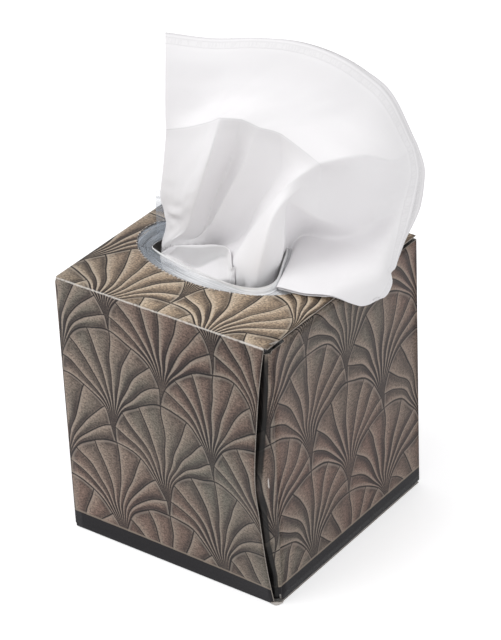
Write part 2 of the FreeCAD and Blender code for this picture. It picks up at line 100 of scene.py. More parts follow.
# Pulled tissue, in a frame turned to face its broad side: across, out and rise
SAIL_TURN = math.radians(37.2)
SAIL = [
    [(-25, -16, 97.5), (-25.5, -13, 87.5), (-26, -12, 77), (-26.5, -12, 66), (-27, -11, 55.5),
     (-29, -13, 38), (-31, -14, 22.5), (-29.5, -14, 9), (-32, -14, -2)],
    [(-5.5, -14.5, 95), (-8, -10, 86), (-10.5, -9, 76.5), (-13.5, -9, 67), (-17, -6, 59),
     (-22, -8, 40), (-26, -11, 22), (-26.5, -13, 8.5), (-31.5, -13.5, -2)],
    [(12.5, -13, 95), (8.5, -8, 86.5), (3, -6, 78.5), (-2.5, -5, 70.5), (-8.5, 0, 64),
     (-14.5, -1, 44.5), (-21, -5, 25), (-23.5, -10, 9), (-30, -13, -1.5)],
    [(29, -11.5, 93), (24, -7, 84.5), (15.5, -4, 78), (6.5, -1, 72), (-4, 6, 68.6),
     (-9.6, 5, 50), (-15.6, -1.5, 28), (-21, -7.5, 9.5), (-28, -12, 0.5)],
    [(43.5, -10, 87.5), (36.5, -5, 79.5), (26.5, -2, 75), (15.5, 1, 70.5), (4.5, 7, 68),
     (-1, -5, 43), (-9.5, -9, 20), (-14.5, -10, 5.5), (-20.5, -10, 1.5)],
    [(56, -9, 78.5), (47.5, -3, 71.5), (36, 0, 69), (23.5, 3, 66), (11.5, 8, 64.5),
     (5.5, 3, 47), (-2.5, -1, 30), (-9.5, -5, 15.5), (-13.5, -8, 3)],
    [(66.5, -8, 67), (57.5, -1, 62), (45.5, 2, 60.5), (33.5, 6, 60.5), (20.5, 9, 61.5),
     (19.6, 4, 42.2), (10.3, -1, 23.8), (2.6, -4, 7.2), (-6.5, -8, -1.5)],
    [(76.2, -6, 44.7), (68.1, 4, 43.9), (56.6, 11, 50.5), (46.1, 16, 52.8), (35.8, 17, 51.1),
     (24.2, 16, 43.3), (14.3, 16, 32.1), (3.6, 15, 16.4), (-2.2, 17.5, 5.5)],
    [(78, -4, 32.5), (70, 2, 32.5), (60.5, 6, 34.5), (49, 10, 40), (37.1, 11, 41.8),
     (25.7, 16, 38.5), (16.2, 21, 30.5), (11, 25, 16.5), (7.5, 26, 0.1)],
    [(74.5, -1, 17), (67, 0, 16), (57, -3, 11), (46, -1, 10.5), (33.8, 6, 19.8),
     (22.6, 15, 32.5), (20.2, 17, 23.3), (19.8, 17, 12.9), (16.5, 15, -1)],
    [(70, 2.5, 2.5), (61.5, 8, 4.5), (51, 2, 3.5), (40, -4, 2.8), (28.5, -10, 2.8),
     (22.5, -5, -0.3), (20, -1, -3.5), (17.5, 5, -6), (16, 10, -8)],
    [(64, 15.5, -11.5), (59, 21, -1.5), (48, 22.5, 3.4), (35.5, 18, 2.8), (22, 13, 2.4),
     (21.5, 11, -2), (20, 11.5, -4), (18, 12.5, -6), (16.5, 14, -8)],
    [(56, 19.5, -17.5), (48, 34, -6.5), (37.5, 40.5, 3.6), (26.5, 36, 2.6), (16.5, 32, 2.4),
     (16.5, 27, -2.5), (16.5, 23.5, -5), (16, 21, -7), (15, 19, -9)],
]
# Below the mouth the sheet is drawn together, in regular folds, down to the pad
SAIL_GATHER = 0.8
SAIL_DROPS = [0.35, 0.7, 1.0]
SAIL_END = 92.5
GATHER_FROM = 8.0
GATHER_FOLDS = 2
GATHER_DEPTH = 2.2
# Rounded corner of the lobe: columns, rows and cut
LOBE_CORNER = (20, 11, 0.42)
# Notch in the hem beside the lobe, by pleat
NOTCH_AT = 10.62
NOTCH_DEPTH = 3.0
SAIL_WIDTH = 210.0
SAIL_SEED = 21
PLEAT_STEPS = 16
ROW_STEPS = [14, 10, 12, 16, 20, 14, 12, 10, 6, 6, 6]
PLY_GAP = 1.0
# How far the rear ply's hem stands past the front ply's, by pleat
REAR_SLIP = [0.0, 0.0, 0.0, 0.3, 0.8, 1.5, 2.4, 3.4, 4.2, 3.6, 2.0, -1.0, -6.0]

# Sharpness of the folds along each pleat: above the crease, and below it
FOLDS_ABOVE = [0, 0, 0, 0, 0, 0, 0, 0.85, 0.2, 0.2, 0.3, 0, 0]
FOLDS_BELOW = [0, 0.2, 0.3, 0.9, 0.6, 0.95, 0.4, 0.8, 0.2, 0.85, 0.4, 0.5, 0]
# Sharpness of the crease, which runs across the first nine pleats
CREASE_ROW = 4
CREASE_END = (116.0, 130.0)
CREASE = [1.0, 1.0, 1.0, 1.0, 1.0, 1.0, 1.0, 0.9, 0.7, 0.3, 0.0, 0.0, 0.0]

# Head of the next tissue, a pocket that is open to the front, as x, y and rise. Its
# inside has painted shade where the attribute is past the pocket's level.
POCKET_SHADE_LEVEL = 20.0
NEXT_RIM = [
    (-31, -13, -2.4), (-28.5, -9.5, 0.1), (-24.6, -6.8, 1.0), (-15.3, -5.3, 3.2),
    (-7, -6.2, 6.4), (2.4, -9.8, 9.9), (7.3, -13.8, 9.9), (10.2, -17, 6.3),
    (10.9, -15.9, 5.6),
]
NEXT_VALLEY = [
    (-30.8, -13.3, -3.6), (-29.0, -10.2, -3.4), (-24.8, -7.8, -5.4), (-17.5, -6.6, -7.8),
    (-6.7, -7.8, -0.4), (0.9, -11.2, 5.5), (6.3, -14.7, 7.0), (9.5, -17.5, 4.2),
    (10.9, -16.2, 4.6),
]
NEXT_FLOOR = [
    (-29.8, -14.4, -5), (-23.5, -15.5, -3.4), (-15.1, -17.5, -3), (-6.5, -19, -3),
    (3, -19.5, -1.5), (7.5, -19, 0), (9.5, -18.8, 0.6), (10.5, -18.5, 0.8),
    (11.6, -17.2, -0.5),
]
NEXT_LOW = [
    (-27, -14.8, -14), (-22, -15, -17), (-15, -15.5, -18), (-8, -16.5, -18),
    (-1, -17.5, -17), (4, -18, -15), (6, -18, -14), (7, -18.2, -13),
    (8.5, -16.8, -13),
]

# Edge of the film's opened slit, as x, y and rise
FILM_EDGE = [
    (-34.8, -12.8, 0.5), (-30, -16.3, 1.5), (-22, -19, 2.0), (-8, -21.5, 2.0), (3, -22.5, 2.0),
    (14, -23.3, 2.3), (21, -23, 2.8), (26, -21, 3.0), (29, -16.8, 3.2), (29, -12, 3.2),
    (26.3, -5.5, 3.2), (22.5, 2.0, 3.0), (18.5, 10, 2.5), (13, 17, 1.2), (4, 18, 0.8),
    (-8, 16.5, 0.6), (-22, 11, 0.5), (-31, 2, 0.5), (-34.8, -6, 0.4),
]
FILM_CENTRE = (-2.0, -1.5)
FILM_OVERLAP = 4.5
# Share of the lip's height, and how far out it leans there
FILM_LIP = [(0.92, 0.12), (0.6, 0.45), (0.25, 0.9), (0.0, 1.5)]
FILM_THICKNESS = 0.05
# Small piece of film that stands at the slit's left end
FILM_FLAP = [
    [(-41.0, -2.0, -0.6), (-36.0, 1.5, -0.6), (-31.0, 6.0, -0.6)],
    [(-41.2, -1.5, 10.0), (-36.5, 2.5, 9.0), (-31.5, 7.0, 6.0)],
    [(-41.8, 0.0, 20.0), (-37.5, 4.0, 18.0), (-32.5, 8.0, 11.0)],
]

# Pad of folded sheets, with rounded shoulders and a slot below
PAD_HALF = 50.0
PAD_LOW = 1.5
PAD_HIGH = 89.5
PAD_SHOULDER = 38.0
PAD_RISE = 17.1
PAD_SLOT = (1.0, 46.0)
PAD_END = 52.0

# Print
MOTIF = 27.5
RIBS = 4.0
BAND_TOP = 8.8

# Camera, as fitted to the photograph
CAMERA_PLACE = (0.648400, -0.846824, 0.741288)
CAMERA_AZIMUTH = 0.6492233
CAMERA_ELEVATION = 0.5444715
CAMERA_ROLL = -0.0464920
FOCAL_PIXELS = 2913.07
FRAME_PIXELS = 640
SENSOR = 36.0


# Shapes from grids of points

def refined(grid, axis, steps, kinks=None):
    """The grid with a run of points between each two along one axis. Where a kink is
    1 the surface folds sharply at that point, and where it is 0 it stays smooth."""
    points = np.moveaxis(np.asarray(grid, float), axis, 0)
    gaps = np.diff(points, axis=0)
    before = np.concatenate([gaps[:1], gaps])
    after = np.concatenate([gaps, gaps[-1:]])
    middle = (before + after) / 2
    sharp = np.zeros(points.shape[:2]) if kinks is None else np.moveaxis(kinks, axis, 0)
    sharp = sharp[..., None]
    arriving = middle + (before - middle) * sharp
    leaving = middle + (after - middle) * sharp
    rows = []
    for index in range(len(points) - 1):
        count = steps[index] if hasattr(steps, "__len__") else steps
        for step in range(count):
            t = step / count
            rows.append((2 * t ** 3 - 3 * t * t + 1) * points[index]
                        + (t ** 3 - 2 * t * t + t) * leaving[index]
                        + (3 * t * t - 2 * t ** 3) * points[index + 1]
                        + (t ** 3 - t * t) * arriving[index + 1])
    rows.append(points[-1])
    return np.moveaxis(np.array(rows), 0, axis)


def closed_curve(points, steps):
    """Smooth closed run of points through the given ones."""
    around = np.concatenate([points[-2:], points, points[:3]])[:, None, :]
    return refined(around, 0, steps)[2 * steps:(2 + len(points)) * steps, 0]


def spline_weights(count, samples):
    """Weights of the poles of an even clamped cubic at evenly spaced places."""
    degree = 3
    spans = count - degree
    knots = [0.0] * degree + [float(n) for n in range(spans + 1)] + [float(spans)] * degree
    places = np.linspace(0, spans, samples)
    weights = np.zeros((samples, count + degree))
    for index, place in enumerate(places):
        span = min(int(place), spans - 1) + degree
        weights[index, span] = 1.0
    for order in range(1, degree + 1):
        finer = np.zeros_like(weights)
        for pole in range(count + degree - order):
            low = knots[pole + order] - knots[pole]
            high = knots[pole + order + 1] - knots[pole + 1]
            if low > 0:
                finer[:, pole] += (places - knots[pole]) / low * weights[:, pole]
            if high > 0:
                share = (knots[pole + order + 1] - places) / high
                finer[:, pole] += share * weights[:, pole + 1]
        weights = finer
    return weights[:, :count]


def normals_of(grid):
    """Unit normals of a grid of points, by its neighbours."""
    down = np.gradient(grid, axis=0)
    across = np.gradient(grid, axis=1)
    normal = np.cross(down, across)
    length = np.linalg.norm(normal, axis=2, keepdims=True)
    return normal / np.maximum(length, 1e-9)


def smooth_noise(shape, cells, seed):
    """Smooth random field over a grid, about -1 to 1, with that many cells each way."""
    local = np.random.default_rng(seed)
    result = local.uniform(-1, 1, (cells[0] + 4, cells[1] + 4))
    for axis in (0, 1):
        places = np.linspace(1, cells[axis] + 1, shape[axis])
        base = np.floor(places).astype(int)
        t = places - base
        moved = np.moveaxis(result, axis, 0)
        a, b, c, d = (moved[np.clip(base + k, 0, len(moved) - 1)] for k in (-1, 0, 1, 2))
        t = t.reshape([-1] + [1] * (moved.ndim - 1))
        line = 0.5 * (2 * b + (c - a) * t + (2 * a - 5 * b + 4 * c - d) * t * t
                      + (3 * b - a - 3 * c + d) * t ** 3)
        result = np.moveaxis(line, 0, axis)
    return result


def run_of(path):
    """Length along a path, at each of its points."""
    return np.concatenate([[0], np.cumsum(np.linalg.norm(np.diff(path, axis=0), axis=1))])


def flat_grid(shape, across, down):
    """Flat places over a grid, between two levels each way."""
    uv = np.zeros(shape[:2] + (2,))
    uv[..., 0] = np.linspace(*across, shape[1])[None, :]
    uv[..., 1] = np.linspace(*down, shape[0])[:, None]
    return uv


def placed(name, data):
    """New object in the scene."""
    thing = bpy.data.objects.new(name, data)
    bpy.context.scene.collection.objects.link(thing)
    return thing


def make_piece(name, grids, materials, smooth=True):
    """One object from grids: each has points, flat places (uv) and an attribute of wear and painted
    light.
    """
    verts, faces, uvs, wear_and_painted_light = [], [], [], []
    for part in grids:
        points = np.asarray(part["points"], float)
        rows, columns = points.shape[:2]
        start = len(verts)
        verts.extend((points.reshape(-1, 3) * MM).tolist())
        uv = part.get("uv")
        uv = np.zeros((rows, columns, 2)) if uv is None else np.asarray(uv, float)
        uvs.extend(uv.reshape(-1, 2).tolist())
        worn = part.get("wear_and_painted_light")
        worn = np.zeros((rows, columns)) if worn is None else np.asarray(worn, float)
        wear_and_painted_light.extend(worn.reshape(-1).tolist())
        wrap = part.get("wrap", False)
        for row in range(rows - 1):
            for column in range(columns if wrap else columns - 1):
                after = (column + 1) % columns
                a = start + row * columns + column
                b = start + row * columns + after
                c = start + (row + 1) * columns + after
                d = start + (row + 1) * columns + column
                faces.append((a, d, c, b) if part.get("flip") else (a, b, c, d))
    mesh = bpy.data.meshes.new(name)
    mesh.from_pydata(verts, [], faces)
    layer = mesh.uv_layers.new(name="print")
    loops = np.zeros(len(mesh.loops), dtype=np.int32)
    mesh.loops.foreach_get("vertex_index", loops)
    flat = np.asarray(uvs)[loops] / UV_UNIT
    layer.data.foreach_set("uv", flat.reshape(-1))
    worn = mesh.attributes.new("wear_and_painted_light", "FLOAT", "POINT")
    worn.data.foreach_set("value", np.asarray(wear_and_painted_light, dtype=np.float32))
    mesh.polygons.foreach_set("use_smooth", [smooth] * len(faces))
    for material in materials:
        mesh.materials.append(material)
    mesh.update()
    piece = placed(name, mesh)
    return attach(piece, "root") or piece


# Materials

class Nodes:
    """Short way to write a material's node tree."""

    def __init__(self, name):
        self.material = bpy.data.materials.new(name)
        self.material.use_nodes = True
        self.tree = self.material.node_tree
        self.shader = self.tree.nodes["Principled BSDF"]

    def add(self, kind, *inputs, output=0, **settings):
        node = self.tree.nodes.new(kind)
        for key, value in settings.items():
            setattr(node, key, value)
        for index, value in enumerate(inputs):
            self.put(node.inputs[index], value)
        return node.outputs[output]

    def put(self, socket, value):
        if value is None:
            return
        if isinstance(value, bpy.types.NodeSocket):
            self.tree.links.new(value, socket)
        else:
            socket.default_value = value

    def math(self, operation, a, b=None, c=None):
        return self.add("ShaderNodeMath", a, b, c, operation=operation)

    def mul(self, a, b):
        return self.math("MULTIPLY", a, b)

    def plus(self, a, b):
        return self.math("ADD", a, b)

    def minus(self, a, b):
        return self.math("SUBTRACT", a, b)

    def most(self, a, b):
        return self.math("MAXIMUM", a, b)

    def size(self, a):
        return self.math("ABSOLUTE", a)

    def step(self, value, low, high, to_low=0.0, to_high=1.0):
        """Smooth step of a value from one level to another."""
        node = self.tree.nodes.new("ShaderNodeMapRange")
        node.interpolation_type = "SMOOTHSTEP"
        node.clamp = True
        for index, item in enumerate((value, low, high, to_low, to_high)):
            self.put(node.inputs[index], item)
        return node.outputs[0]

    def pulse(self, value, start, full, fade, end):
        """Smooth rise and fall of a value between four levels."""
        return self.mul(self.step(value, start, full), self.step(value, fade, end, 1.0, 0.0))

    def times(self, vector, x, y, z):
        return self.add("ShaderNodeVectorMath", vector, (x, y, z), operation="MULTIPLY")

    def flat_places(self):
        """Place on the flat sheet, in millimetres."""
        uv = self.add("ShaderNodeUVMap", uv_map="print")
        return self.times(uv, UV_UNIT, UV_UNIT, UV_UNIT)

    def parts(self, vector):
        """The x, y and z of a vector."""
        node = self.tree.nodes.new("ShaderNodeSeparateXYZ")
        self.put(node.inputs[0], vector)
        return tuple(node.outputs)

    # Attribute that holds worn ink, and where light and shade are painted
    def wear_and_painted_light(self):
        return self.add("ShaderNodeAttribute", attribute_name="wear_and_painted_light", output=2)

    def noise(self, vector, scale, detail=2.0, roughness=0.5, output="Fac"):
        node = self.tree.nodes.new("ShaderNodeTexNoise")
        self.put(node.inputs["Vector"], vector)
        node.inputs["Scale"].default_value = scale
        node.inputs["Detail"].default_value = detail
        node.inputs["Roughness"].default_value = roughness
        return node.outputs[output]

    def mix(self, share, a, b, blend="MIX"):
        node = self.tree.nodes.new("ShaderNodeMix")
        node.data_type = "RGBA"
        node.blend_type = blend
        self.put(node.inputs[0], share)
        self.put(node.inputs[6], a)
        self.put(node.inputs[7], b)
        return node.outputs[2]

    def bump(self, height, distance, strength, normal=None):
        node = self.tree.nodes.new("ShaderNodeBump")
        node.inputs["Strength"].default_value = strength
        node.inputs["Distance"].default_value = distance
        self.put(node.inputs["Height"], height)
        self.put(node.inputs["Normal"], normal)
        return node.outputs[0]


def grey(level):
    return (level, level, level, 1.0)


def fan_places(n, u, v):
    """Place in the fan that covers a spot, from the middle of its foot."""
    row = n.math("FLOOR", n.math("DIVIDE", v, MOTIF))
    y0 = n.minus(v, n.mul(row, MOTIF))
    shift = n.mul(n.math("MODULO", n.plus(row, 40.0), 2.0), MOTIF)
    x_base = n.minus(u, shift)
    x0 = n.math("WRAP", x_base, MOTIF, -MOTIF)
    x1 = n.math("WRAP", n.minus(x_base, MOTIF), MOTIF, -MOTIF)
    y1 = n.minus(y0, MOTIF)
    square = n.plus(n.mul(x0, x0), n.mul(y0, y0))
    inside = n.math("LESS_THAN", square, MOTIF * MOTIF)
    outside = n.minus(1.0, inside)
    x = n.plus(n.mul(x0, inside), n.mul(x1, outside))
    y = n.plus(n.mul(y0, inside), n.mul(y1, outside))
    return x, y


def fan_masks(n, x, y, strength):
    """Dark lines, glow beside them, shaded valleys and puffed cloth of a ribbed fan."""
    lift = n.plus(y, MOTIF)
    reach = n.most(n.plus(n.mul(x, x), n.mul(lift, lift)), 0.4)
    curl = n.math("DIVIDE", n.mul(x, 2 * MOTIF), reach)

    # Ribs: signed distance in millimetres to the nearest one
    many = n.mul(curl, RIBS)
    off = n.minus(many, n.math("ROUND", many))
    span = n.math("DIVIDE", reach, 2 * MOTIF * RIBS)
    side = n.mul(off, span)
    away = n.size(side)

    # Rim: distance to it, only above the fan's foot
    rim = n.minus(MOTIF, n.math("SQRT", n.plus(n.mul(x, x), n.mul(y, y))))
    upper = n.step(y, -0.5, 0.5)
    rim_away = n.plus(n.size(rim), n.mul(n.minus(1.0, upper), 50.0))

    thin = n.math("MINIMUM", n.mul(span, 0.24), 0.42)
    line = n.step(away, n.mul(thin, 0.3), thin, 1.0, 0.0)
    dark = n.most(line, n.step(rim_away, 0.18, 0.5, 1.0, 0.0))
    light = n.most(n.pulse(side, 0.25, 0.55, 0.7, 1.9), n.pulse(rim_away, 0.4, 0.7, 0.8, 2.0))
    valley = n.most(n.pulse(side, -4.2, -0.2, 0.1, 0.7), n.step(rim_away, 0.0, 5.0, 1.0, 0.0))
    slack = n.math("MINIMUM", n.mul(n.size(n.minus(off, 0.16)), 2.2), 1.0)
    puff = n.math("POWER", n.minus(1.0, slack), 0.8)
    return dark, n.mul(light, strength), n.mul(valley, strength), puff


def cloth_colour(n, mm, x, y, golden, grain):
    """Printed cloth, with its grain and soft patches, and the fans on it."""
    strength = n.step(n.noise(mm, 0.045, 2.0), 0.36, 0.62, 0.6, 1.0)
    dark, glow, shade, puff = fan_masks(n, x, y, strength)
    weave = n.noise(n.times(mm, 1.0, 3.2, 1.0), 0.55, 2.0, 0.6)
    patch = n.noise(mm, 0.013, 1.0)
    taupe = n.mix(n.step(patch, 0.38, 0.62), (0.162, 0.112, 0.090, 1), (0.142, 0.128, 0.104, 1))
    taupe = n.mix(golden, taupe, (0.325, 0.245, 0.172, 1))
    taupe = n.mix(n.mul(shade, 0.95), taupe, (0.016, 0.010, 0.011, 1))
    taupe = n.mix(n.mul(n.step(puff, 0.3, 1.0), 0.42), taupe,
                  n.mix(golden, (0.31, 0.25, 0.20, 1), (0.64, 0.52, 0.39, 1)))
    grainy = n.step(n.plus(n.mul(grain, 0.65), n.mul(weave, 0.35)), 0.34, 0.66, 0.42, 1.58)
    taupe = n.mix(1.0, taupe, n.add("ShaderNodeCombineColor", grainy, grainy, grainy), "MULTIPLY")
    taupe = n.mix(n.mul(glow, 0.5), taupe,
                  n.mix(golden, (0.36, 0.31, 0.26, 1), (0.68, 0.58, 0.46, 1)))
    return n.mix(n.mul(dark, 0.94), taupe, (0.006, 0.004, 0.005, 1))


def print_material():
    """Printed board: rows of overlapping fans with pin-tucked ribs, over a dark band."""
    n = Nodes("printed_board")
    mm = n.flat_places()
    flat_u, flat_v = n.parts(mm)[:2]
    wobble = n.noise(mm, 0.035, 1.0, output="Color")
    centred = n.add("ShaderNodeVectorMath", wobble, (0.5, 0.5, 0.5), operation="SUBTRACT")
    bent = n.add("ShaderNodeVectorMath", mm, n.times(centred, 9.0, 9.0, 0.0), operation="ADD")
    u, v = n.parts(bent)[:2]
    x, y = fan_places(n, u, v)

    # The top is lighter and golden, less so towards its left end; the front is lighter towards its
    # left end, and the walls past it are darker
    on_top = n.step(flat_v, HEIGHT - 0.7, HEIGHT + 0.7)
    golden = n.mul(on_top, n.step(flat_u, 2.0, 48.0, 0.45, 1.0))
    tint = n.mix(n.step(flat_u, 0.0, 105.0), (1.17, 1.13, 1.13, 1), (0.93, 0.94, 0.94, 1))
    tint = n.mix(n.step(flat_u, WIDTH + 1.0, WIDTH + 6.0), tint, (0.94, 0.88, 0.88, 1))
    tint = n.mix(on_top, tint, (1.0, 1.0, 1.0, 1))
    grain = n.noise(mm, 1.1, 3.0, 0.7)
    colour = n.mix(1.0, cloth_colour(n, mm, x, y, golden, grain), tint, "MULTIPLY")

    # Dark band along the bottom, with a thin light line above it
    edge_line = n.pulse(flat_v, BAND_TOP - 0.05, BAND_TOP + 0.15, BAND_TOP + 0.8, BAND_TOP + 1.1)
    colour = n.mix(n.mul(edge_line, 0.8), colour, (0.25, 0.205, 0.165, 1))
    band = n.step(flat_v, BAND_TOP - 0.1, BAND_TOP + 0.1, 1.0, 0.0)
    colour = n.mix(band, colour, (0.0050, 0.0038, 0.0058, 1))

    # Worn ink on the folds, and painted shade inside the seam's gap where the attribute is below
    # zero
    wear_and_painted_light = n.wear_and_painted_light()
    scuff = n.noise(mm, 0.8, 4.0, 0.7)
    worn = n.step(n.plus(wear_and_painted_light, n.mul(n.minus(scuff, 0.5), 0.9)), 0.45, 0.95)
    colour = n.mix(n.mul(worn, 0.85), colour, (0.66, 0.62, 0.58, 1))
    # Painted shade: near black inside the seam's gap
    colour = n.mix(n.step(wear_and_painted_light, -0.9, -0.05, 0.93, 0.0), colour, (0.002, 0.002, 0.002, 1))
    n.put(n.shader.inputs["Base Color"], colour)
    n.put(n.shader.inputs["Roughness"], n.step(grain, 0.3, 0.7, 0.42, 0.56))
    n.shader.inputs["Specular IOR Level"].default_value = 0.22
    relief = n.noise(mm, 2.2, 3.0, 0.6)
    n.put(n.shader.inputs["Normal"], n.bump(relief, 0.00006, 0.6))
    return n.material


def board_material(name, colour, dark, scale):
    """Bare board, with short fibres and a little grime."""
    n = Nodes(name)
    place = n.add("ShaderNodeTexCoord", output=3)
    fibre = n.noise(place, scale, 4.0, 0.7)
    patch = n.noise(place, scale / 8, 2.0)
    tone = n.mix(n.step(fibre, 0.3, 0.7), colour, dark)
    tone = n.mix(n.mul(patch, 0.25), tone, dark)
    n.put(n.shader.inputs["Base Color"], tone)
    n.shader.inputs["Roughness"].default_value = 0.85
    n.put(n.shader.inputs["Normal"], n.bump(fibre, 0.00008, 0.5))
    return n.material


def tissue_material(name, level):
    """Soft tissue paper: nearly white, with fine crepe lines and a crimped hem, and painted shade at
    the hem's cut edge, along the crease and inside the next tissue's pocket.
    """
    n = Nodes(name)
    mm = n.flat_places()
    u, v = n.parts(mm)[:2]
    crepe = n.noise(n.times(mm, 0.5, 3.0, 1.0), 1.2, 3.0, 0.6)
    cloud = n.noise(mm, 0.05, 3.0, 0.5)

    # Hem: painted shadow along its cut edge, two thin lines with crimp marks between them, and a
    # faint shade below
    edge = n.step(v, 0.15, 0.7, 1.0, 0.0)
    first = n.step(n.size(n.minus(v, 1.6)), 0.1, 0.45, 1.0, 0.0)
    second = n.step(n.size(n.minus(v, 4.2)), 0.1, 0.5, 1.0, 0.0)
    crimp = n.step(n.noise(n.times(mm, 1.0, 0.12, 1.0), 1.4, 1.0, 0.5), 0.45, 0.6)
    band = n.pulse(v, 1.0, 1.6, 3.8, 4.4)
    marks = n.most(n.mul(n.most(first, second), 0.55),
                   n.mul(band, n.plus(n.mul(crimp, 0.3), 0.2)))
    hem = n.most(n.mul(edge, 0.8), marks)
    under = n.pulse(v, 4.0, 7.0, 9.0, 26.0)

    # Crease: painted shadow, a fine dark line where the fold attribute passes zero, with a faint
    # painted shade just below it
    fold = n.wear_and_painted_light()
    creased = n.step(u, *CREASE_END, 1.0, 0.0)
    crease = n.mul(n.step(n.size(fold), 0.006, 0.032, 1.0, 0.0), creased)
    below = n.mul(n.pulse(fold, 0.0, 0.02, 0.05, 0.5), creased)
    tone = n.mix(n.step(cloud, 0.35, 0.65), (level, level * 0.986, level, 1),
                 (level * 0.985, level * 0.97, level * 0.985, 1))
    tone = n.mix(n.mul(hem, 0.22), tone, grey(0.42))
    tone = n.mix(n.mul(under, 0.07), tone, grey(0.5))
    tone = n.mix(n.mul(crease, 0.20), tone, grey(0.36))
    tone = n.mix(n.mul(below, 0.07), tone, grey(0.4))
    # Painted shade inside the next tissue's pocket
    painted_pocket_shade = n.step(fold, POCKET_SHADE_LEVEL, POCKET_SHADE_LEVEL + 1)
    tone = n.mix(n.mul(painted_pocket_shade, 0.42), tone, grey(0.36))
    n.put(n.shader.inputs["Base Color"], tone)
    n.shader.inputs["Roughness"].default_value = 0.9
    n.shader.inputs["Specular IOR Level"].default_value = 0.2
    n.shader.inputs["Sheen Weight"].default_value = 0.05
    first_bump = n.bump(crepe, 0.00006, 0.3)
    n.put(n.shader.inputs["Normal"], n.bump(hem, 0.0003, 0.5, first_bump))
    return n.material


def film_material():
    """Clear film with long soft wrinkles, and a painted highlight along its torn edge."""
    n = Nodes("clear_film")
    long = n.times(n.flat_places(), 0.22, 0.018, 1.0)
    wrinkle = n.noise(long, 1.0, 1.0, 0.4)
    streak = n.step(n.noise(long, 2.6, 1.0, 0.4), 0.52, 0.66)
    # Painted highlight where the attribute is high, along the lip
    lip_highlight = n.step(n.wear_and_painted_light(), 0.70, 0.98)

    # The film lies over a hollow at the left and over tissue at the right
    x = n.parts(n.add("ShaderNodeTexCoord", output=3))[0]
    milky = n.step(x, -0.036, -0.004)
    colour = n.mix(milky, (0.54, 0.59, 0.66, 1), (0.90, 0.91, 0.93, 1))
    n.put(n.shader.inputs["Base Color"], n.mix(lip_highlight, colour, grey(0.95)))
    n.shader.inputs["Roughness"].default_value = 0.14
    haze = n.plus(n.mul(streak, 0.22), n.step(wrinkle, 0.35, 0.7, 0.12, 0.30))
    haze = n.plus(haze, n.mul(milky, 0.26))
    haze = n.plus(haze, n.step(x, 0.016, 0.026, 0.0, 0.34))
    n.put(n.shader.inputs["Alpha"], n.most(haze, n.mul(lip_highlight, 0.9)))
    n.put(n.shader.inputs["Normal"], n.bump(wrinkle, 0.002, 0.6))
    return n.material


print_board = print_material()
inner_board = board_material("inner_board", (0.36, 0.35, 0.34, 1), (0.27, 0.26, 0.25, 1), 900)
cut_board = board_material("cut_board", (0.42, 0.38, 0.34, 1), (0.20, 0.17, 0.15, 1), 1500)
tissue = tissue_material("tissue", 0.88)
# The rear ply's copy is a little darker: painted shade behind the front ply
shaded_rear_tissue = tissue_material("shaded_rear_tissue", 0.86)
film = film_material()


# Carton

def front_surface():
    """Outer face of the front wall, with its right edge sprung outwards."""
    left = -WIDTH / 2 + FOLD
    poles = np.zeros((len(SEAM_STATIONS), len(BOW_SHARES), 3))
    for row, (share, bow, gap) in enumerate(SEAM_STATIONS):
        z = FOLD + share * (HEIGHT - 2 * FOLD)
        edge_x = WIDTH / 2 - SEAM_INSET - SEAM_PULL * bow
        for column, part in enumerate(BOW_SHARES):
            x = left + part * (edge_x - left)
            poles[row, column] = (x, -DEPTH / 2 - SEAM_BOW * bow * part ** BOW_POWER, z)
    rows = spline_weights(len(SEAM_STATIONS), WALL_SAMPLES[0])
    columns = spline_weights(len(BOW_SHARES), WALL_SAMPLES[1])
    return np.einsum("ai,bj,ijk->abk", rows, columns, poles)


def arc_rows(radius, steps):
    """Places along a quarter round, as shares of the radius: inwards and onwards."""
    turns = np.linspace(0, math.pi / 2, steps)
    return radius * (1 - np.cos(turns)), radius * np.sin(turns), radius * turns


def front_grid(wall):
    """Front wall with the folds that lead to the base and the top panel."""
    inwards, onwards, length = arc_rows(FOLD, 6)
    top = wall[-1]
    bottom = wall[0]
    above = [top + np.array([0, inwards[k], onwards[k]]) for k in range(1, 6)]
    below = [bottom + np.array([0, inwards[k], -onwards[k]]) for k in range(5, 0, -1)]
    points = np.concatenate([np.array(below), wall, np.array(above)])
    uv = np.zeros(points.shape[:2] + (2,))
    uv[..., 0] = points[..., 0] + WIDTH / 2
    v = np.concatenate([FOLD - length[5:0:-1], wall[:, 0, 2], HEIGHT - FOLD + length[1:]])
    uv[..., 1] = v[:, None]
    wear_and_painted_light = np.zeros(points.shape[:2])
    wear_and_painted_light[-6:] = np.array(FRONT_FOLD_WEAR)[:, None]
    wear_and_painted_light[:5] = 0.16
    wear_and_painted_light[-8:, -6:] += 0.1
    return {"points": points, "uv": uv, "wear_and_painted_light": wear_and_painted_light}


